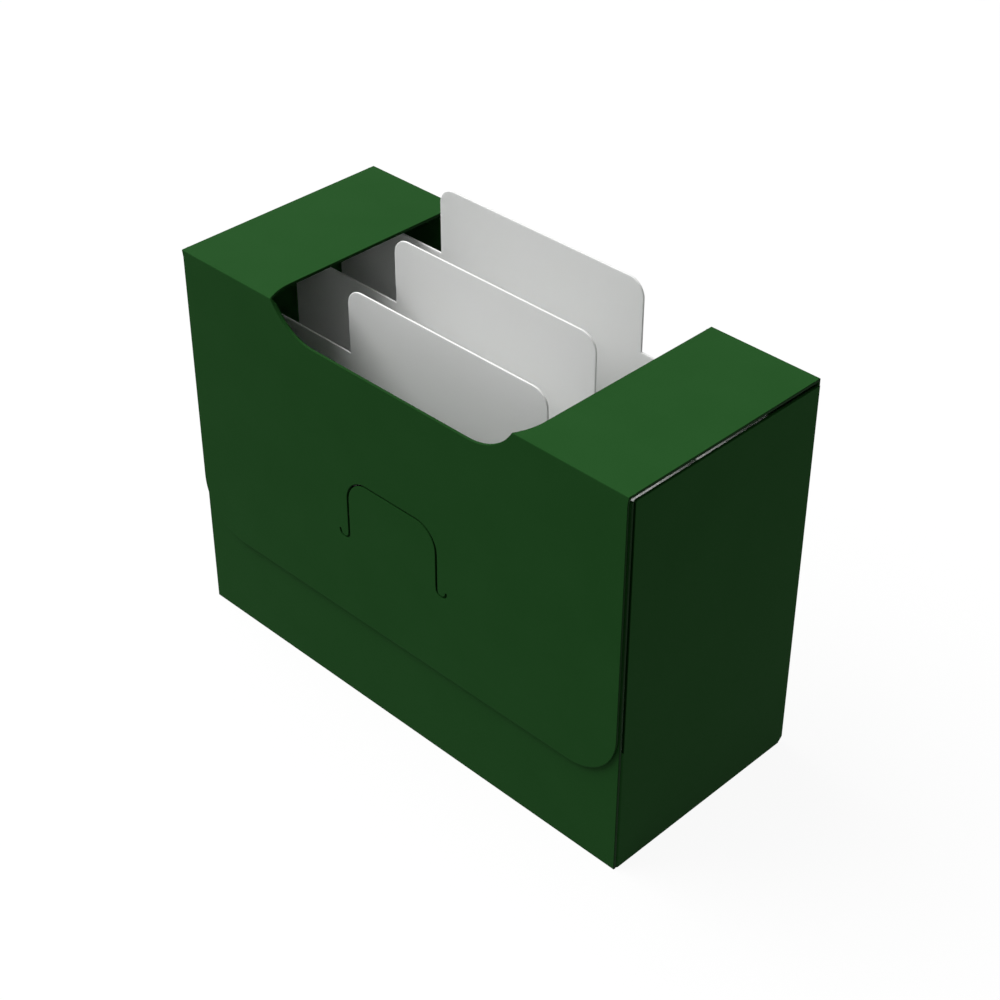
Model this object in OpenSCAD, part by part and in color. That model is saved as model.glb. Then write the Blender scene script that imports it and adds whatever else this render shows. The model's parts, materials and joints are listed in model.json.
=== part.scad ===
// Card organizer box of folded plastic sheet: a tray, a lid of two end strips with
// a front flap and a lock tongue, and three tabbed dividers that slide in the tray.
// X runs along the width, Y from front to back and Z up. The origin is under the
// middle of the whole box, on the surface that it stands on.

/* [Tray] */
// Outer width across the side walls
tray_w = 96.1; // [84:0.1:130]
// Depth from the flap's outer face, at its fold, to the outer face of the back wall
tray_d = 41.5; // [38:0.05:70]
// Height of the side walls
wall_h = 69.5; // [60:0.5:100]
// Thickness of the folded sheet
sheet_t = 0.5; // [0.45:0.05:0.7]
// How far the front wall's ends stay inside the side walls' outer faces
front_inset = 0.1; // [0.1:0.05:0.5]
// How far the front wall's cut-out is lower than the flap's
front_hide = 0.8; // [0.6:0.1:5]
// Distance from the flap's outer face, at its fold, to the front edges of the side walls
side_set = 1.3; // [1.2:0.05:3]
// Size of the blunt corners of the side walls
corner_cut = 0.3; // [0.1:0.1:3]
// Size of the cut corner at the back of each side wall's foot
heel_cut = 1; // [0.2:0.1:3]
// Outer radius of the upright folds between the side walls and the back wall
fold_r = 0.15; // [0.1:0.05:0.4]

/* [Glue tabs] */
// Width of the glue tabs
glue_w = 9; // [5:0.5:10]
// How far the ends of a glue tab taper
glue_taper = 4; // [1:0.5:8]
// Distance of a glue tab's ends from the edges of its panel
glue_end = 1.5; // [0.5:0.5:4]
// Height of the folds that join the side walls to the glue tabs behind the front wall
front_glue_h = 23.7; // [15:0.1:40]

/* [Lid] */
// Height of the gap between the side walls and the lid
lid_gap = 0.75; // [0.3:0.05:3]
// How far the lid stays inside the side walls' outer faces, on each side
lid_inset = 0.1; // [0:0.05:0.5]
// Width of the cut-out between the two end strips
window_w = 54.8; // [48:0.2:64]
// Radius of the cut-out's corners
window_r = 10.5; // [8:0.5:12]
// How far the cut-out reaches down the front flap
window_drop = 5.35; // [3:0.05:8]
// How far the cut-out reaches down the back wall
back_drop = 14.75; // [12:0.05:30]

/* [Front flap] */
// Length of the flap from the fold to its lower edge
flap_drop = 53.55; // [46:0.05:58]
// How far the flap's side edges stand in from the lid's
flap_inset = 0.2; // [0:0.05:0.5]
// Radius of the flap's lower corners
flap_r = 9.6; // [2:0.1:20]
// Angle at which the flap and the front wall lean back
flap_lean = 0.2; // [0:0.1:1]
// Gap between the flap and the front wall
flap_gap = 0.05; // [0.02:0.01:0.3]

/* [Lock tongue] */
// Distance from the fold down to the top of the tongue's slit
tongue_drop = 25.55; // [15:0.05:30]
// Height of the tongue from its fold to the middle of the slit above it
tongue_h = 11.1; // [8:0.1:16]
// Width of the tongue between the middles of its two slits
tongue_w = 20.1; // [14:0.1:30]
// Radius of the slit's upper corners
tongue_r = 4.35; // [2:0.05:6]
// Width of the slit
slit_w = 0.35; // [0.2:0.05:0.6]
// Radius of the small hooks that end the slit
hook_r = 1.05; // [0.6:0.05:2]
// Gap round the tongue in the slot of the front wall
lock_gap = 0.4; // [0.2:0.05:1.5]

/* [Dividers] */
// Thickness of a divider
divider_t = 0.35; // [0.3:0.05:1]
// Gap between a divider's ends and the glue tabs
divider_gap = 0.15; // [0.1:0.05:1]
// Distance from the flap's outer face, at its fold, to the front divider
divider_first = 11.85; // [8:0.05:12]
// Distance from one divider to the next
divider_pitch = 10.15; // [8:0.05:11]
// How far the back divider's shoulders stay below the side walls' top edges
shoulder_drop = 1.8; // [0.5:0.1:10]
// How much each divider is higher than the one before it
divider_step = 5.05; // [0:0.05:8]
// Width of the index tab
tab_w = 43.3; // [20:0.1:46]
// Height of the index tab above the shoulders
tab_h = 12.1; // [6:0.1:16]
// Radius of the index tab's corners
tab_r = 3; // [1:0.1:6]
// Radius of the divider's other corners
corner_r = 1.5; // [0.5:0.1:4]

/* [Living hinges] */
// Radius of the round bead along the lid's two folds
bead_r = 0.2; // [0.1:0.01:0.22]
// Radius of the round bead along the tongue's fold
tongue_bead_r = 0.1; // [0.06:0.01:0.12]
// Running gap beside a bead
hinge_gap = 0.03; // [0.02:0.01:0.06]

/* [Hidden] */
$fn = 96;
// Length by which a cutting shape passes the face that it cuts
past = 1;
green = "#1f4a20";
white = "#dcdcdc";
divider_count = 3;

lid_top = wall_h + lid_gap + sheet_t;
lid_w = tray_w - 2 * lid_inset;
flap_w = lid_w - 2 * flap_inset;
inner_w = tray_w - 2 * sheet_t;
hinge_z = lid_top - bead_r;
flap_proud = (flap_drop - bead_r) * sin(flap_lean) - bead_r * (1 - cos(flap_lean));
front_y = (flap_proud - tray_d) / 2;
back_y = front_y + tray_d;
front_hinge_y = front_y + bead_r;
back_hinge_y = back_y - bead_r;
flap_reach = (2 * sheet_t - bead_r) / cos(flap_lean) - hinge_z * tan(flap_lean);
inner_front_y = front_hinge_y + flap_reach + flap_gap;
inner_back_y = back_y - sheet_t;

post_top = lid_top - sheet_t - hinge_gap;
back_window_z = lid_top - back_drop;
flap_bottom = lid_top - flap_drop;
slit_top = lid_top - tongue_drop;
tongue_foot = slit_top - tongue_h;
window_side = window_w / 2;
window_arc_x = window_side - window_r;
window_arc_z = window_r - window_drop;

glue_face = inner_w / 2 - sheet_t;
divider_w = 2 * (glue_face - divider_gap);
shoulder_top = wall_h - shoulder_drop;

// Half width of the cut-out at a distance behind the front fold, along the sheet
function window_half(along) =
    along >= window_arc_z
    ? window_side
    : window_arc_x + sqrt(window_r * window_r - (window_arc_z - along) * (window_arc_z - along));

// Carries a drawing of X and Z to an upright plate that starts at y and is t thick
module plate_xz(y, t) {
    translate([0, y + t, 0])
        rotate([90, 0, 0])
            linear_extrude(t)
                children();
}

// Carries a drawing of Y and Z to an upright plate that starts at x and is t thick
module plate_yz(x, t) {
    translate([x, 0, 0])
        rotate([90, 0, 90])
            linear_extrude(t)
                children();
}

// A round bar along X, from x0 to x1
module bar(x0, x1, y, z, r) {
    translate([x0, y, z])
        rotate([0, 90, 0])
            cylinder(r = r, h = x1 - x0);
}

// A drawing of a rectangle that is w wide, from z0 to z1, with round upper corners
module round_top(w, z0, z1, r) {
    translate([-w / 2, z0])
        square([w, z1 - r - z0]);
    translate([r - w / 2, z0])
        square([w - 2 * r, z1 - z0]);
    for (side = [-1, 1])
        translate([side * (w / 2 - r), z1 - r])
            circle(r);
}

// The same rectangle with round lower corners
module round_bottom(w, z0, z1, r) {
    translate([0, z0 + z1])
        mirror([0, 1])
            round_top(w, z0, z1, r);
}

// The cut-out between the strips, drawn flat: the front fold lies on the X axis
module window_cut(reach) {
    translate([-window_side, window_arc_z])
        square([window_w, reach]);
    translate([-window_arc_x, -window_drop])
        square([2 * window_arc_x, window_r]);
    for (side = [-1, 1])
        translate([side * window_arc_x, window_arc_z])
            circle(window_r);
}

// Places the flap's own frame: Y from the fold's axis, Z the height before it leans
module on_flap() {
    translate([0, front_hinge_y, hinge_z])
        rotate([-flap_lean, 0, 0])
            translate([0, 0, -hinge_z])
                children();
}

// Places the front wall's own frame: Y from its inner face, Z from the floor
module on_front_wall() {
    translate([0, inner_front_y, 0])
        rotate([-flap_lean, 0, 0])
            children();
}

// Drawing of the lock tongue, larger on each side by grow
module tongue_shape(z0, grow) {
    round_top(tongue_w + 2 * grow, z0, slit_top + grow, tongue_r + grow);
}

// Drawing of one hook at the lower end of the slit
module slit_hook() {
    difference() {
        circle(hook_r + slit_w / 2);
        circle(hook_r - slit_w / 2);
        translate([-2 * hook_r, 0])
            square([4 * hook_r, 2 * hook_r]);
    }
    translate([hook_r, 0])
        circle(slit_w / 2);
}

module floor_panel() {
    floor_front = inner_front_y + sheet_t * tan(flap_lean);
    color(green)
        translate([-inner_w / 2, floor_front, 0])
            cube([inner_w, inner_back_y - floor_front, sheet_t]);
}

module front_wall() {
    front_w = tray_w - 2 * front_inset;
    color(green)
        on_front_wall()
            plate_xz(-sheet_t, sheet_t)
                difference() {
                    translate([-front_w / 2, 0])
                        square([front_w, wall_h]);
                    translate([0, lid_top - front_hide])
                        window_cut(past);
                    tongue_shape(tongue_foot - lock_gap, lock_gap - slit_w / 2);
                }
}

module back_wall() {
    post_w = inner_w / 2 - window_side;
    color(green) {
        plate_xz(inner_back_y, sheet_t)
            difference() {
                translate([-inner_w / 2, 0])
                    square([inner_w, post_top]);
                round_bottom(window_w, back_window_z, lid_top + past + window_r, window_r);
            }
        for (side = [0, 1])
            mirror([side, 0, 0]) {
                translate([window_side, back_y - 2 * bead_r, post_top - sheet_t])
                    cube([post_w, 2 * bead_r, hinge_z - post_top + sheet_t]);
                bar(window_side, window_side + post_w, back_hinge_y, hinge_z, bead_r);
            }
    }
}

// The right side wall; the left one is its mirror image
module side_wall() {
    front_edge = front_y + side_set;
    color(green)
        intersection() {
            plate_yz(inner_w / 2, sheet_t)
                polygon([
                    [inner_front_y, 0],
                    [back_y - heel_cut, 0],
                    [back_y, heel_cut],
                    [back_y, wall_h - corner_cut],
                    [back_y - corner_cut, wall_h],
                    [front_edge + corner_cut, wall_h],
                    [front_edge, wall_h - corner_cut],
                    [front_edge, front_glue_h],
                    [inner_front_y + front_glue_h * tan(flap_lean), front_glue_h]
                ]);
            linear_extrude(wall_h)
                union() {
                    translate([0, front_y])
                        square([tray_w / 2, tray_d - fold_r]);
                    square([tray_w / 2 - fold_r, back_y]);
                    translate([tray_w / 2 - fold_r, back_y - fold_r])
                        circle(fold_r);
                }
        }
}

module left_side_wall() {
    mirror([1, 0, 0]) side_wall();
}

module right_side_wall() {
    side_wall();
}

// Tab folded in from the right side wall and glued behind the front wall
module front_glue_tab() {
    tab_end = inner_w / 2 - glue_w;
    color(green)
        on_front_wall()
            plate_xz(0, sheet_t)
                polygon([
                    [inner_w / 2, glue_end],
                    [inner_w / 2, front_glue_h],
                    [tab_end, front_glue_h - glue_taper],
                    [tab_end, glue_end + glue_taper]
                ]);
}

module left_front_glue_tab() {
    mirror([1, 0, 0]) front_glue_tab();
}

module right_front_glue_tab() {
    front_glue_tab();
}

// Tab folded up from the floor and glued inside the right side wall
module floor_glue_tab() {
    tab_front = inner_front_y + sheet_t + glue_end;
    tab_back = inner_back_y - glue_end;
    color(green)
        plate_yz(glue_face, sheet_t)
            polygon([
                [tab_front, sheet_t],
                [tab_back, sheet_t],
                [tab_back - glue_taper, sheet_t + glue_w],
                [tab_front + glue_taper, sheet_t + glue_w]
            ]);
}

module left_floor_glue_tab() {
    mirror([1, 0, 0]) floor_glue_tab();
}

module right_floor_glue_tab() {
    floor_glue_tab();
}

// Drawing of the right strip from above, between two distances behind the front fold
module strip_shape(from, to) {
    translate([0, front_y])
        intersection() {
            difference() {
                square([lid_w / 2, tray_d]);
                window_cut(tray_d);
            }
            translate([0, from])
                square([lid_w / 2, to - from]);
        }
}

// The right end strip of the lid; the left one is its mirror image
module lid_strip() {
    plate_from = sheet_t + hinge_gap;
    plate_to = tray_d - 2 * bead_r - hinge_gap;
    color(green) {
        translate([0, 0, lid_top - sheet_t])
            linear_extrude(sheet_t)
                strip_shape(plate_from, plate_to);
        translate([0, 0, lid_top - 2 * bead_r])
            linear_extrude(2 * bead_r)
                strip_shape(bead_r, plate_from + bead_r);
        bar(window_half(bead_r), lid_w / 2, front_hinge_y, hinge_z, bead_r);
    }
}

module left_lid_strip() {
    mirror([1, 0, 0]) lid_strip();
}

module right_lid_strip() {
    lid_strip();
}

module front_flap() {
    flap_top = hinge_z - bead_r - hinge_gap;
    tongue_axis_y = sheet_t - bead_r - tongue_bead_r;
    color(green)
        on_flap() {
            plate_xz(-bead_r, sheet_t)
                difference() {
                    round_bottom(flap_w, flap_bottom, flap_top, flap_r);
                    translate([0, lid_top])
                        window_cut(past);
                    tongue_shape(tongue_foot, slit_w / 2);
                    for (side = [0, 1])
                        mirror([side, 0])
                            translate([tongue_w / 2 + hook_r, tongue_foot])
                                slit_hook();
                }
            bar((slit_w - tongue_w) / 2, (tongue_w - slit_w) / 2, tongue_axis_y, tongue_foot, tongue_bead_r);
        }
}

module lock_tongue() {
    tongue_axis_y = sheet_t - bead_r - tongue_bead_r;
    color(green)
        on_flap()
            difference() {
                plate_xz(-bead_r, sheet_t)
                    tongue_shape(tongue_foot + hinge_gap, -slit_w / 2);
                bar(-tongue_w / 2, tongue_w / 2, tongue_axis_y, tongue_foot, tongue_bead_r + hinge_gap);
            }
}

// The divider at a place counted from the front
module divider(place) {
    front_face = front_y + divider_first + place * divider_pitch;
    shoulder = shoulder_top - (divider_count - 1 - place) * divider_step;
    color(white)
        plate_xz(front_face, divider_t) {
            round_bottom(divider_w, sheet_t, shoulder - corner_r, corner_r);
            round_top(divider_w, sheet_t + corner_r, shoulder, corner_r);
            round_top(tab_w, sheet_t + corner_r, shoulder + tab_h, tab_r);
        }
}

module front_divider() {
    divider(0);
}

module middle_divider() {
    divider(1);
}

module back_divider() {
    divider(2);
}

floor_panel();
front_wall();
back_wall();
left_side_wall();
right_side_wall();
left_front_glue_tab();
right_front_glue_tab();
left_floor_glue_tab();
right_floor_glue_tab();
left_lid_strip();
right_lid_strip();
front_flap();
lock_tongue();
front_divider();
middle_divider();
back_divider();
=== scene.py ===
import json
import math
import bmesh
import bpy
import numpy as np
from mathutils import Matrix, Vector, geometry


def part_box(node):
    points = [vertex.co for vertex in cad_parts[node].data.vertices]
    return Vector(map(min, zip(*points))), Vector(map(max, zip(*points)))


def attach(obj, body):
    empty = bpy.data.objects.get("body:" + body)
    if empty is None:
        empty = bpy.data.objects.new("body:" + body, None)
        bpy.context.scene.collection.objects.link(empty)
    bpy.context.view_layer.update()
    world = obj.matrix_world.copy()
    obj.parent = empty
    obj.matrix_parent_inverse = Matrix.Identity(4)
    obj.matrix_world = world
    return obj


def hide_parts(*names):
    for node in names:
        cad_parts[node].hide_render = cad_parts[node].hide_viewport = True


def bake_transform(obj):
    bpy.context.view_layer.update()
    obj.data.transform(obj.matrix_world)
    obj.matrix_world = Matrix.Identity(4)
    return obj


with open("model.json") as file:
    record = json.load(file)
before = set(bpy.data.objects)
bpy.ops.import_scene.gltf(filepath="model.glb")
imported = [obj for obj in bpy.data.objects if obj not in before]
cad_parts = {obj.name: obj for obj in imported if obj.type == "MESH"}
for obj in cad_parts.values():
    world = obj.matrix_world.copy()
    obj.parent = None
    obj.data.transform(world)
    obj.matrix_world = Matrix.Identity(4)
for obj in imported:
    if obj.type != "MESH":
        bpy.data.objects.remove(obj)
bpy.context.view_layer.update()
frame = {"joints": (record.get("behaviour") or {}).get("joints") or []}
mm = 0.001


# low and high side of a node along an axis, in millimetres
def span(node, axis):
    low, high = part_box(node)
    return low[axis] / mm, high[axis] / mm


# Sizes that the sheets share. Only the radii of the folds and edges, the stubs and the lean are
# given here, the rest is measured on the frame.
sideInner, sideOuter = span("right_floor_glue_tab", 0)[1], span("right_side_wall", 0)[1]
wallTop = span("right_side_wall", 2)[1]
lidHalf = span("right_lid_strip", 0)[1]
lidTop = span("right_lid_strip", 2)[1]
frontY = span("right_lid_strip", 1)[0]
backY = span("back_wall", 1)[1]
frontHalf = span("front_wall", 0)[1]
frontTop = span("front_wall", 2)[1]
wallFront = span("right_side_wall", 1)[0]
tabTop = span("right_front_glue_tab", 2)[1]
tabEnd = span("right_front_glue_tab", 0)[0]
flapLow = span("front_flap", 2)[0]
flapHalf = span("front_flap", 0)[1]
flapHinge, tongueHinge = (
    Vector(next(j["pos_m"] for j in frame["joints"] if j["name"] == name))
    for name in ("flap_hinge", "tongue_hinge")
)
sheet = {
    "thickness": sideOuter - sideInner,
    "edge": 0.08,      # rounding that the cutting die leaves
    "stub": 1.2,       # how far a piece runs on past its fold
    "front": 0.15,     # outer radius of the fold between the lid and the flap
    "back": 0.15,      # outer radius of the folds round the back wall and the floor
    "side": 0.5,       # outer radius of the folds beside the front wall
}
thick, stub = sheet["thickness"], sheet["stub"]
lean = math.radians(0.2)      # the flap and the front wall lean back by this
sharpTurn = math.radians(20)  # an edge that turns by more is shaded as a sharp one
acrossEdgeShade = 0.3               # share of the cut edges' painted shade on rims that run across, so up-facing rims are painted lighter
taperRun = 0.3                # length over which a rounded edge runs out into a square one
# The finger cut-out in the lid, flap and walls. drop and backDrop are its depths below the lid's
# top, and hide is how much lower it is in the front wall, so that the flap hides it.
cutOut = {"half": 27.4, "radius": 10.5, "drop": 5.35, "backDrop": 14.75, "hide": 0.8}


# points on an arc; angles in degrees
def arc(centreU, centreV, radius, start, end, count=16):
    a = np.radians(np.linspace(start, end, count))
    return np.column_stack([centreU + radius * np.cos(a), centreV + radius * np.sin(a)])


# an outline from the points of its right half, which start and end at the middle
def mirrored(right):
    right = np.vstack(right)
    outline = np.vstack([right, (right * [-1, 1])[::-1]])
    moved = np.linalg.norm(outline - np.roll(outline, 1, axis=0), axis=1)
    return outline[moved > 1e-6]


# Each point's outward direction on a closed outline, lengthened so that an offset keeps its
# distance from both neighbouring sides. Outer outlines run anticlockwise, holes clockwise.
def outward(points):
    before = points - np.roll(points, 1, axis=0)
    after = np.roll(points, -1, axis=0) - points
    before /= np.linalg.norm(before, axis=1, keepdims=True)
    after /= np.linalg.norm(after, axis=1, keepdims=True)
    n1 = np.column_stack([before[:, 1], -before[:, 0]])
    n2 = np.column_stack([after[:, 1], -after[:, 0]])
    return (n1 + n2) / (1 + (n1 * n2).sum(axis=1, keepdims=True))


# distance across the flat sheet, from a fold's middle to a point at a given way from the corner
def flatAlong(fromCorner, radius):
    return fromCorner - radius + radius * math.pi / 4


# A fold of a right angle between panel A, which runs down from the corner, and panel B, which
# runs in from it. along is the distance across the flat sheet from the fold's middle, negative
# on A, and depth the distance below the outer face. Across the fold a point runs round a
# quarter circle, whose radius is the fold's less the depth. Deeper than the fold's radius,
# both panels end in the inner corner. Returns the height over the corner and the way in.
def foldCorner(along, depth, radius):
    half = radius * math.pi / 4
    centre = np.maximum(radius, depth)
    small = np.maximum(radius - depth, 0)
    turn = np.clip((along + half) / (2 * half), 0, 1) * math.pi / 2
    up = np.where(along > half, -depth, small * np.sin(turn) - centre)
    up = np.where(along < -half, np.minimum(along + half - radius, -centre), up)
    into = np.where(along < -half, depth, centre - small * np.cos(turn))
    into = np.where(along > half, np.maximum(along - half + radius, centre), into)
    return up, into


# places across the flat sheet at which a fold is divided
def creaseLines(place, radius, steps=6):
    half = radius * math.pi / 4
    inside = half + max(thick - radius, 0)
    ease = 0.06
    lines = [-inside - ease, -inside, inside, inside + ease, *np.linspace(-half, half, steps + 1)]
    return [place + v for v in lines]


# turns points about an axis along X; a positive angle carries +Y towards +Z
def turnX(y, z, axisY, axisZ, angle):
    dy, dz = y - axisY, z - axisZ
    return axisY + dy * np.cos(angle) - dz * np.sin(angle), axisZ + dy * np.sin(angle) + dz * np.cos(angle)


# The closed surface of a flat sheet: its two faces and a rim whose section has two quarter
# circles. Where square is true the rim stays square, since the sheet runs on there. Returns
# the corners, the faces, and for each face how much it is a cut edge, which also sets how much
# of the edges' painted shade it takes: 0 on both sides, 1 on a rim that runs along v, and less on
# one that runs across. Those across rims face up or down on the walls, flap and dividers, so the
# smaller share paints the up-facing edges lighter, a painted highlight.
def flatSheet(loops, thickness, edge):
    ring = 0.05
    quarter = np.radians(np.linspace(0, 90, 4))
    offsets = np.concatenate([[-1.0], np.sin(quarter) - 1, (np.sin(quarter) - 1)[::-1], [-1.0]])
    depths = np.concatenate([[0.0], 1 - np.cos(quarter)])
    rows = len(offsets)
    verts, rims, cut, caps, start = [], [], [], [], 0
    for points, square in loops:
        count = len(points)
        radius = np.where(square, 0.0, edge)
        shift = offsets[:, None] * radius
        shift[[0, -1]] -= ring
        deep = np.concatenate([depths[:, None] * radius, thickness - depths[::-1, None] * radius])
        flat = points[None] + shift[:, :, None] * outward(points)[None]
        verts.append(np.dstack([flat, -deep]).reshape(-1, 3))
        index = start + np.arange(rows * count).reshape(rows, count)
        following = np.roll(index, -1, axis=1)
        quads = np.stack([index[:-1], index[1:], following[1:], following[:-1]], axis=-1)
        rims.append(quads.reshape(-1, 4))
        along = np.abs(np.roll(points, -1, axis=0) - points)
        clean = along[:, 1] / np.linalg.norm(along, axis=1)
        # painted shade on the rims: full on those along v, less on those across, a painted highlight on edges
        # that face up
        onRim = np.tile(acrossEdgeShade + (1 - acrossEdgeShade) * clean**6, (rows - 1, 1))
        onRim[[0, -1]] = 0
        cut.append(onRim.ravel())
        caps.append((flat[0], index[0], index[-1]))
        start += rows * count
    polygons = [[Vector((*p, 0)) for p in flat] for flat, _, _ in caps]
    triangles = np.array(geometry.tessellate_polygon(polygons))
    a, b, c = (np.vstack([cap[0] for cap in caps])[triangles[:, i]] for i in range(3))
    area = (b - a)[:, 0] * (c - a)[:, 1] - (b - a)[:, 1] * (c - a)[:, 0]
    triangles[area < 0] = triangles[area < 0][:, ::-1]
    triangles = triangles[np.abs(area) > 1e-12]
    upper = np.concatenate([cap[1] for cap in caps])[triangles]
    lower = np.concatenate([cap[2] for cap in caps])[triangles][:, ::-1]
    faces = upper.tolist() + lower.tolist() + np.vstack(rims).tolist()
    onRim = np.concatenate([np.zeros(2 * len(triangles)), *cut])
    return np.vstack(verts), faces, onRim


# A die-cut sheet: drawn flat, divided along the lines of its folds, then carried into place.
def dieCut(name, loops, lines, place, finish, body, nodes, board=sheet):
    verts, faces, onRim = flatSheet(loops, board["thickness"], board["edge"])
    mesh = bpy.data.meshes.new(name)
    mesh.from_pydata(verts.tolist(), [], faces)
    # the cut edges' mask, which also carries their painted shade
    mesh.attributes.new("cut_edge_and_shade", "FLOAT", "FACE").data.foreach_set("value", onRim)
    bm = bmesh.new()
    bm.from_mesh(mesh)
    for axis, value in lines:
        at, towards = Vector((0, 0, 0)), Vector((0, 0, 0))
        at[axis], towards[axis] = value, 1
        parts = bm.verts[:] + bm.edges[:] + bm.faces[:]
        bmesh.ops.bisect_plane(bm, geom=parts, plane_co=at, plane_no=towards, dist=1e-5)
    bmesh.ops.triangulate(bm, faces=[f for f in bm.faces if len(f.verts) > 4])
    u, v, w = np.array([vert.co for vert in bm.verts]).T
    for vert, at in zip(bm.verts, np.column_stack(place(u, v, -w)) * mm):
        vert.co = at
    bmesh.ops.remove_doubles(bm, verts=bm.verts[:], dist=2e-8)
    bmesh.ops.dissolve_degenerate(bm, dist=1e-8, edges=bm.edges[:])
    if bm.calc_volume(signed=True) < 0:
        bmesh.ops.reverse_faces(bm, faces=bm.faces[:])
    openEdges = sum(1 for e in bm.edges if not e.is_manifold)
    bm.to_mesh(mesh)
    bm.free()
    mesh.polygons.foreach_set("use_smooth", np.ones(len(mesh.polygons), bool))
    mesh.set_sharp_from_angle(angle=sharpTurn)
    material, slotName = finish
    mesh.materials.append(material)
    piece = bpy.data.objects.new(name, mesh)
    bpy.context.scene.collection.objects.link(piece)
    if isinstance(body, dict):
        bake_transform(piece)
    else:
        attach(piece, body)
    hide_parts(*nodes)
    print("made", name, len(mesh.polygons), "faces, open edges", openEdges)
    return piece


# a colour as on a screen, in hexadecimal, turned to linear values
def linear(hexColour):
    s = np.array([int(hexColour[i : i + 2], 16) for i in (1, 3, 5)]) / 255
    return (*np.where(s <= 0.04045, s / 12.92, ((s + 0.055) / 1.055) ** 2.4), 1.0)


# adds one node to a material with its settings and links
def addNode(tree, kind, settings=None, links=None):
    node = tree.nodes.new(kind)
    for key, value in (settings or {}).items():
        if hasattr(node, key) and key not in node.inputs:
            setattr(node, key, value)
        else:
            node.inputs[key].default_value = value
    for key, source in (links or {}).items():
        tree.links.new(source, node.inputs[key])
    return node


def newMaterial(name):
    material = bpy.data.materials.new(name)
    material.use_nodes = True
    material.node_tree.nodes.clear()
    return material, material.node_tree


# a value that goes from its first figure to its second as a factor goes from 0 to 1
def between(tree, figures, factor):
    low, high = figures
    node = addNode(tree, "ShaderNodeMapRange", {"To Min": low, "To Max": high}, {"Value": factor})
    return node.outputs["Result"]


# a colour ramp between two screen colours, over a stretch of its factor
def tint(tree, colours, stretch, factor):
    node = addNode(tree, "ShaderNodeValToRGB", None, {"Fac": factor})
    for element, place, colour in zip(node.color_ramp.elements, stretch, colours):
        element.position = place
        element.color = linear(colour)
    return node.outputs["Color"]


# a factor's mix of two colours
def mixed(tree, factor, first, second):
    node = addNode(tree, "ShaderNodeMix", {"data_type": "RGBA"})
    tree.links.new(factor, node.inputs["Factor"])
    for socket, source in zip([s for s in node.inputs if s.type == "RGBA"], (first, second)):
        tree.links.new(source, socket)
    return next(s for s in node.outputs if s.type == "RGBA")


# A sheet with the grain of an embossing roll on both faces and smoother cut edges, whose deeper
# tone is painted shade, full where a rim runs along v and less where it runs across. cloud and
# grain are the sizes of its patterns in millimetres. through is how much light passes through the
# faces and the cut edges, and reach how far, in millimetres. The IOR is polypropylene's.
def sheetMaterial(name, settings):
    material, tree = newMaterial(name)
    at = addNode(tree, "ShaderNodeTexCoord").outputs["Object"]
    cut = addNode(tree, "ShaderNodeAttribute", {"attribute_name": "cut_edge_and_shade"}).outputs["Fac"]

    def noise(size, detail):
        scale = 1 / (size * mm)
        node = addNode(tree, "ShaderNodeTexNoise", {"Scale": scale, "Detail": detail}, {"Vector": at})
        return node.outputs["Fac"]

    cloud, grain = noise(settings["cloud"], 3.0), noise(settings["grain"], 2.0)
    face = tint(tree, settings["face"], (0.3, 0.7), cloud)
    # the cut edges' colour is painted shade
    edge = tint(tree, settings["cut"], (0.3, 0.7), grain)
    roughFace, roughCut = (between(tree, settings[key], grain) for key in ("rough", "roughCut"))
    rough = addNode(
        tree, "ShaderNodeMix", {"data_type": "FLOAT"}, {"Factor": cut, "A": roughFace, "B": roughCut},
    )
    relief = addNode(
        tree, "ShaderNodeBump", {"Distance": settings["depth"] * mm},
        {"Height": grain, "Strength": between(tree, (settings["bump"], 0.0), cut)},
    )
    surface = addNode(
        tree, "ShaderNodeBsdfPrincipled",
        {"IOR": 1.49, "Specular IOR Level": settings["shine"], "Subsurface Scale": settings["reach"] * mm},
        {
            "Base Color": mixed(tree, cut, face, edge),
            "Roughness": rough.outputs["Result"],
            "Normal": relief.outputs["Normal"],
        },
    )
    surface.inputs["Subsurface Radius"].default_value = (1.0, 1.0, 1.0)
    if settings["through"]:
        tree.links.new(between(tree, settings["through"], cut), surface.inputs["Subsurface Weight"])
    addNode(tree, "ShaderNodeOutputMaterial", None, {"Surface": surface.outputs["BSDF"]})
    return material


# Polypropylene dyed through: a deep even green that the embossing makes matt, with hardly any
# sheen, and glossier cut edges whose darker tone is painted shade for the narrow recesses beside
# the flap, painted lighter where the edges face up.
greenSheet = sheetMaterial("polypropylene_sheet_embossed_green", {
    # the cut colour is painted shade
    "face": ("#1e481e", "#204a20"), "cut": ("#072807", "#092b09"),
    "cloud": 9.0, "grain": 0.35, "depth": 0.01, "bump": 0.35,
    "rough": (0.62, 0.72), "roughCut": (0.5, 0.6), "shine": 0.03,
    "through": None, "reach": 1.0,
}), "green_sheet"
# Undyed polypropylene: frosted white that lets light through, so that its cut edges glow. Their
# slightly darker tone is painted shade, lighter where the edges face up.
whiteSheet = sheetMaterial("polypropylene_sheet_frosted_natural", {
    # the cut colour is painted shade
    "face": ("#f6f7f5", "#f7f8f7"), "cut": ("#dcdddc", "#dedfde"),
    "cloud": 12.0, "grain": 0.4, "depth": 0.008, "bump": 0.3,
    "rough": (0.5, 0.6), "roughCut": (0.35, 0.45), "shine": 0.3,
    "through": (0.3, 1.0), "reach": 1.0,
}), "divider_sheet"
print("materials made")

# the cut-out's drawing across the front fold: its middle part's reach and its corners' centres
cornerU = cutOut["half"] - cutOut["radius"]
cornerV = cutOut["radius"] - flatAlong(cutOut["drop"], sheet["front"])
cornerBehind = cornerV + sheet["front"] * (1 - math.pi / 4)


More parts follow.
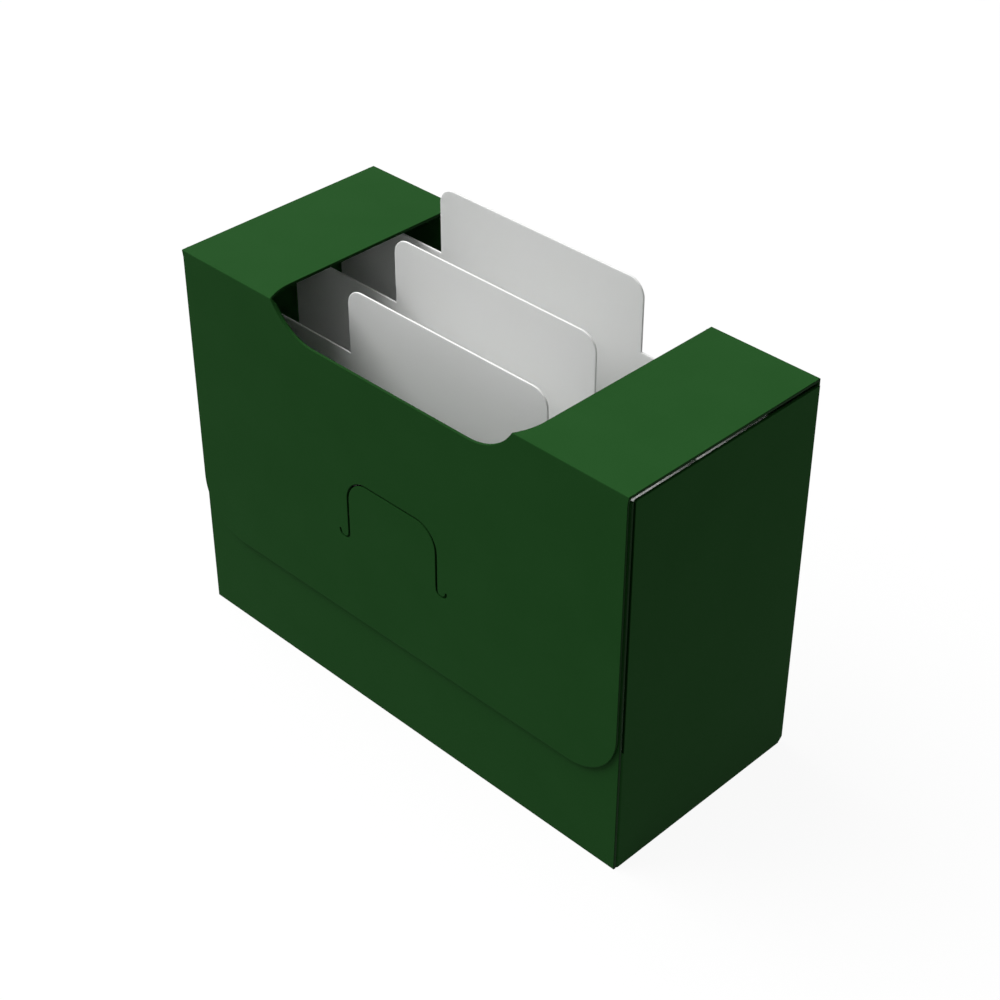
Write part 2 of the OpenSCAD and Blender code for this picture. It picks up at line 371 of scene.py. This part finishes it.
# The flap with its fold and the first of both strips: one sheet, cut flat, creased and leant.
def flapSheet(settings, tongue):
    fold = sheet["front"]
    stubV = flatAlong(stub, fold)
    low, r = -flatAlong(lidTop - flapLow, fold), settings["corner"]
    reach = math.degrees(math.asin((cornerV - stubV) / cutOut["radius"]))
    outline = mirrored([
        arc(flapHalf - r, low + r, r, -90, 0, 20),
        [[flapHalf, -settings["shoulder"]], [lidHalf, -fold], [lidHalf, stubV - taperRun], [lidHalf, stubV]],
        arc(cornerU, cornerV, cutOut["radius"], -reach, -90, 28),
    ])
    hole = tongueHole(tongue)
    foot = (np.abs(hole[:, 1] - tongue["foot"]) < 1e-6) & (np.abs(hole[:, 0]) < tongue["half"])

    def place(u, v, w):
        up, into = foldCorner(v, w, fold)
        share = np.clip((fold - v) / (2 * fold), 0, 1)
        return u, *turnX(frontY + into, lidTop + up, flapHinge.y / mm, flapHinge.z / mm, -lean * share)

    corner, step = Vector((0, frontY, lidTop)), Vector((0, 1, 1)) * settings["bend"]
    return dieCut(
        "flap_sheet", [(outline, outline[:, 1] > stubV - 0.01), (hole, foot)],
        [(1, v) for v in creaseLines(0, fold)], place, greenSheet,
        {"from": "lid", "to": "flap", "start": (corner + step) * mm, "end": (corner - step) * mm},
        ["front_flap"],
    )


# the hole's outline: the foot, a hook on each side and the slit's outer side, clockwise
def tongueHole(t):
    half, slit, foot, top, r, hook = t["half"], t["slit"] / 2, t["foot"], t["top"], t["corner"], t["hook"]
    return mirrored([
        [[half - slit - taperRun, foot]],
        arc(half + hook, foot, hook + slit, -180, 0, 14),
        arc(half + 2 * hook, foot, slit, 0, 180, 7)[1:-1],
        arc(half + hook, foot, hook - slit, 0, -180, 12),
        arc(half - r, top - r, r + slit, 0, 90, 14),
    ])[::-1]


# the tongue itself, which bends at its foot, where it goes on from the flap
def tongueSheet(t):
    half, slit, foot, top, r = t["half"], t["slit"] / 2, t["foot"], t["top"], t["corner"]
    outline = mirrored([
        [[half - slit, foot], [half - slit, foot + taperRun]],
        arc(half - r, top - r, r - slit, 0, 90, 14),
    ])

    def place(u, v, w):
        up, into = foldCorner(v, w, sheet["front"])
        return u, *turnX(frontY + into, lidTop + up, flapHinge.y / mm, flapHinge.z / mm, -lean)

    bendEnd = tongueHinge + Vector((0, 0, t["bend"] * mm))
    return dieCut(
        "tongue_sheet", [(outline, outline[:, 1] < foot + 0.01)],
        [(1, foot + 0.15 * k) for k in range(1, 7)], place, greenSheet,
        {"from": "flap", "to": "tongue", "start": tongueHinge, "end": bendEnd}, ["lock_tongue"],
    )


# half and corner run to the middle of the slit, foot and top are places below the lid's top
tongue = {
    "half": 10.05, "slit": 0.35, "corner": 4.35, "hook": 1.05, "bend": 0.8,
    "foot": -flatAlong(36.65, sheet["front"]), "top": -flatAlong(25.55, sheet["front"]),
}
flapSheet({"corner": 9.6, "shoulder": 1.2, "bend": 0.06}, tongue)
tongueSheet(tongue)


# one end strip of the lid, between the two folds
def stripSheet(name, side, node):
    start, end, half = stub, backY - frontY - stub, cutOut["half"]
    reach = math.degrees(math.asin((cornerBehind - stub) / cutOut["radius"]))
    outline = np.vstack([
        [[lidHalf, start], [lidHalf, start + taperRun], [lidHalf, end - taperRun], [lidHalf, end]],
        [[half, end], [half, end - taperRun]],
        arc(cornerU, cornerBehind, cutOut["radius"], 0, -reach, 12),
    ])
    square = (outline[:, 1] < start + 0.01) | (outline[:, 1] > end - 0.01)
    return dieCut(
        name, [(outline, square)], [], lambda u, v, w: (side * u, frontY + v, lidTop - w),
        greenSheet, "lid", [node],
    )


stripSheet("right_strip_sheet", 1, "right_lid_strip")
stripSheet("left_strip_sheet", -1, "left_lid_strip")
print("lid made")


# the back wall, from the stub under the floor's fold to the stubs of both strips
def backWallSheet(settings):
    fold = sheet["back"]
    side, step, half = sideInner - settings["sideStub"], wallTop + settings["notch"], cutOut["half"]
    foldV = flatAlong(lidTop / 2, fold) * 2
    topV = foldV + flatAlong(stub, fold)
    bottomV, r = -flatAlong(stub, fold), cutOut["radius"]
    low = flatAlong(lidTop - cutOut["backDrop"], fold)
    outline = mirrored([
        [[side, bottomV], [side, bottomV + taperRun], [side, step - taperRun], [side, step]],
        [[lidHalf, step], [lidHalf, topV - taperRun], [lidHalf, topV], [half, topV], [half, topV - taperRun]],
        arc(half - r, low + r, r, 0, -90, 24),
    ])
    u, v = outline.T
    square = (v > topV - 0.01) | (v < bottomV + 0.01) | (np.abs(np.abs(u) - side) < 0.01)

    def place(u, v, w):
        up, into = foldCorner(v - foldV, w, fold)
        down, intoLow = foldCorner(-v, w, fold)
        high = v > foldV / 2
        return u, backY - np.where(high, into, intoLow), np.where(high, lidTop + up, -down)

    corner, step = Vector((0, backY, lidTop)), Vector((0, -1, 1)) * settings["bend"]
    return dieCut(
        "back_wall_sheet", [(outline, square)],
        [(1, v) for v in creaseLines(foldV, fold) + creaseLines(0, fold)], place, greenSheet,
        {"from": "tray", "to": "lid", "start": (corner - step) * mm, "end": (corner + step) * mm},
        ["back_wall"],
    )


backWallSheet({"sideStub": 0.45, "notch": 0.1, "bend": 0.06})


# A side wall with its fold to the back wall and the glue tab that it sends behind the front
# wall. u runs back from the middle of the front fold.
def sideWallSheet(name, side, nodes, settings):
    front, back = sheet["side"], sheet["back"]
    halfDepth = (backY - wallFront) / 2
    foldU = flatAlong(halfDepth, front) + flatAlong(halfDepth, back)
    edgeU = flatAlong(front, front)
    endU = foldU + flatAlong(thick + settings["sideStub"], back)
    tabU = -flatAlong(sideOuter - tabEnd, front)
    low, taper, blunt, heel = settings["tabLow"], settings["taper"], settings["blunt"], settings["heel"]
    slant, relief, footU, footV = settings["slant"], settings["relief"], *settings["foot"]
    outline = np.array([
        [edgeU, 0], [foldU - heel, 0], [foldU, heel], [endU, heel + slant], [endU, heel + slant + taperRun],
        [endU, wallTop - settings["topRun"]], [endU, wallTop], [edgeU + blunt, wallTop],
        [edgeU, wallTop - blunt], [edgeU, tabTop], [-edgeU, tabTop], [tabU, tabTop - taper],
        [tabU, low + taper], [-edgeU - relief, low], [-edgeU, footV], [-footU * edgeU, 0],
    ])

    def place(u, v, w):
        out, into = foldCorner(u - foldU, w, back)
        fore, intoFore = foldCorner(-u, w, front)
        rear = u > foldU / 2
        lent = math.tan(lean) * v * np.clip(0.5 - u / (2 * edgeU), 0, 1)
        x = side * (sideOuter - np.where(rear, into, intoFore))
        return x, np.where(rear, backY + out, wallFront - fore + lent), v

    lines = [(0, v) for v in creaseLines(foldU, back) + creaseLines(0, front, 8)]
    return dieCut(name, [(outline, outline[:, 0] > endU - 0.01)], lines, place, greenSheet, "tray", nodes)


# heel, slant, blunt, relief and foot are the small cuts that ease the corners beside the folds
sideWall = {
    "sideStub": 0.45, "heel": 1.0, "slant": 0.2, "topRun": 0.4, "blunt": 0.3,
    "tabLow": 1.5, "taper": 4.0, "relief": 0.3, "foot": (0.8, 0.1),
}
sideWallSheet("right_side_sheet", 1, ["right_side_wall", "right_front_glue_tab"], sideWall)
sideWallSheet("left_side_sheet", -1, ["left_side_wall", "left_front_glue_tab"], sideWall)


# the front wall with its fold to the floor and the slot for the tongue
def frontWallSheet(settings):
    fold, s = sheet["back"], settings["slot"]
    bottomV, heelV, foot = -flatAlong(stub, fold), -flatAlong(thick, fold), flatAlong(0, fold)
    inner = sideInner - settings["sideGap"]
    centreV = lidTop - cutOut["hide"] - cutOut["drop"] + cutOut["radius"]
    reach = math.degrees(math.asin((centreV - frontTop) / cutOut["radius"]))
    outline = mirrored([
        [[inner, bottomV], [inner, bottomV + taperRun], [inner, heelV - settings["slant"]]],
        [[frontHalf, heelV], [frontHalf, frontTop + foot]],
        arc(cornerU, centreV + foot, cutOut["radius"], -reach, -90, 24),
    ])
    slot = mirrored([
        [[s["half"], s["foot"] + foot]],
        arc(s["half"] - s["corner"], s["top"] - s["corner"] + foot, s["corner"], 0, 90, 14),
    ])[::-1]
    wallY = wallFront - thick

    def place(u, v, w):
        down, into = foldCorner(-v, w, fold)
        share = np.clip(-down / settings["leanRun"], 0, 1)
        return u, *turnX(wallY + into, -down, wallY + thick, 0, -lean * share)

    return dieCut(
        "front_wall_sheet", [(outline, outline[:, 1] < bottomV + 0.01), (slot, np.zeros(len(slot), bool))],
        [(1, v) for v in [*creaseLines(0, fold), settings["leanRun"]]],
        place, greenSheet, "tray", ["front_wall"],
    )


frontWallSheet({
    "sideGap": 0.05, "slant": 0.1, "leanRun": 1.0,
    "slot": {"half": 10.275, "foot": 33.7, "top": 45.425, "corner": 4.575},
})


# the floor between its two folds, with a glue tab turned up at each side
def floorSheet(settings):
    fold = sheet["back"]
    foldU = flatAlong(sideInner, fold)
    tabU = foldU + flatAlong(settings["tab"], fold)
    near, far = wallFront - thick + stub, backY - stub
    tabNear, tabFar = near + settings["tabNear"], far - settings["tabFar"]
    taper, inner, outer = settings["taper"], foldU - settings["relief"], foldU + settings["relief"]
    outline = mirrored([
        [[inner, near], [inner, near + taperRun], [inner, tabNear - settings["relief"]], [outer, tabNear]],
        [[tabU, tabNear + taper], [tabU, tabFar - taper], [outer, tabFar]],
        [[inner, tabFar + settings["slant"]], [inner, far]],
    ])

    def place(u, v, w):
        out, up = foldCorner(np.abs(u) - foldU, w, fold)
        return np.sign(u) * (sideInner + out), v, up

    square = (outline[:, 1] < near + 0.01) | (outline[:, 1] > far - 0.01)
    return dieCut(
        "floor_sheet", [(outline, square)],
        [(0, s * v) for v in creaseLines(foldU, fold) for s in (-1, 1)], place, greenSheet, "tray",
        ["floor_panel", "left_floor_glue_tab", "right_floor_glue_tab"],
    )


floorSheet({"tab": 9.5, "tabNear": 1.5, "tabFar": 0.8, "taper": 4.0, "relief": 0.3, "slant": 0.2})
print("tray made")


# a divider: a board with an index tab, cut from one sheet
def dividerSheet(name, node, settings):
    half = span(node, 0)[1]
    (face, rear), (bottom, top) = span(node, 1), span(node, 2)
    shoulder = top - settings["tabHeight"]
    r, rTab, tabHalf = settings["corner"], settings["tabCorner"], settings["tabHalf"]
    outline = mirrored([
        arc(half - r, bottom + r, r, -90, 0, 8),
        arc(half - r, shoulder - r, r, 0, 90, 8),
        [[tabHalf, shoulder]],
        arc(tabHalf - rTab, top - rTab, rTab, 0, 90, 14),
    ])
    board = {"thickness": rear - face, "edge": settings["edge"]}
    return dieCut(
        name, [(outline, np.zeros(len(outline), bool))], [], lambda u, v, w: (u, face + w, v),
        whiteSheet, node, [node], board,
    )


divider = {"tabHeight": 12.1, "corner": 1.5, "tabCorner": 3.0, "tabHalf": 21.65, "edge": 0.1}
for node in ("front_divider", "middle_divider", "back_divider"):
    dividerSheet(node + "_sheet", node, divider)
print("dividers made")

# the camera stands where the photograph was taken from
view = {
    "azimuth": 44.778, "elevation": 36.03, "distance": 329.1, "target": (2.59, 0.646, 36.14),
    "lens": 73.29, "sensor": 36.0,
}
az, el = math.radians(view["azimuth"]), math.radians(view["elevation"])
towards = Vector((math.sin(az) * math.cos(el), -math.cos(az) * math.cos(el), math.sin(el)))
camera = bpy.data.objects.new("camera", bpy.data.cameras.new("camera"))
camera.data.lens = view["lens"]
camera.data.sensor_width = view["sensor"]
camera.data.clip_start = 0.01
camera.location = (Vector(view["target"]) + towards * view["distance"]) * mm
camera.rotation_euler = (-towards).to_track_quat("-Z", "Y").to_euler()
bpy.context.scene.collection.objects.link(camera)
bpy.context.scene.camera = camera


# 1 for rays that see the stage, straight or in a shiny surface, and 0 for those that light the object
def seenRay(tree):
    path = addNode(tree, "ShaderNodeLightPath").outputs
    larger = {"operation": "MAXIMUM"}
    straight = addNode(tree, "ShaderNodeMath", larger, {0: path["Is Camera Ray"], 1: path["Is Glossy Ray"]})
    either = addNode(
        tree, "ShaderNodeMath", larger, {0: straight.outputs[0], 1: path["Is Transmission Ray"]},
    )
    return either.outputs[0]


# The floor sends back little light to the object. The rays that see it find it near white, with
# part of that white its own so that the shadow stays faint.
stage = {"half": 3.0, "bounce": 0.25, "seen": 0.93, "own": 0.93}
floorMesh = bpy.data.meshes.new("studio_floor")
corners = np.array([(-1, -1, 0), (1, -1, 0), (1, 1, 0), (-1, 1, 0)]) * stage["half"]
floorMesh.from_pydata(corners.tolist(), [], [(0, 1, 2, 3)])
floorObject = bpy.data.objects.new("studio_floor", floorMesh)
bpy.context.scene.collection.objects.link(floorObject)
floorMaterial, tree = newMaterial("studio_floor")
seen = seenRay(tree)
tone, share = between(tree, (stage["bounce"], stage["seen"]), seen), between(tree, (0.0, stage["own"]), seen)
matt = addNode(tree, "ShaderNodeBsdfDiffuse", None, {"Color": tone})
glow = addNode(tree, "ShaderNodeEmission", {"Color": (1, 1, 1, 1), "Strength": 1.0})
floorSurface = addNode(
    tree, "ShaderNodeMixShader", None,
    {"Fac": share, 1: matt.outputs["BSDF"], 2: glow.outputs["Emission"]},
)
addNode(tree, "ShaderNodeOutputMaterial", None, {"Surface": floorSurface.outputs["Shader"]})
floorMesh.materials.append(floorMaterial)

# the world: white where it is seen, a soft sky for the light on the object
lighting = {
    "sky": 0.27, "key": {"power": 99.2, "size": 2.4, "at": (-1.36, -0.62, 2.18), "aim": (0, 0, 0.04)},
}
world = bpy.data.worlds.new("studio")
bpy.context.scene.world = world
world.use_nodes = True
tree = world.node_tree
tree.nodes.clear()
strength = between(tree, (lighting["sky"], 1.0), seenRay(tree))
sky = addNode(tree, "ShaderNodeBackground", {"Color": (1, 1, 1, 1)}, {"Strength": strength})
addNode(tree, "ShaderNodeOutputWorld", None, {"Surface": sky.outputs["Background"]})


# a square lamp over the object, turned towards it
def softLamp(name, settings):
    lamp = bpy.data.lights.new(name, "AREA")
    lamp.energy = settings["power"]
    lamp.size = settings["size"]
    holder = bpy.data.objects.new(name, lamp)
    holder.location = settings["at"]
    aim = Vector(settings["aim"]) - Vector(settings["at"])
    holder.rotation_euler = aim.to_track_quat("-Z", "Y").to_euler()
    bpy.context.scene.collection.objects.link(holder)


softLamp("key_lamp", lighting["key"])
bpy.context.scene.view_settings.view_transform = "Standard"
print("stage and lights made")
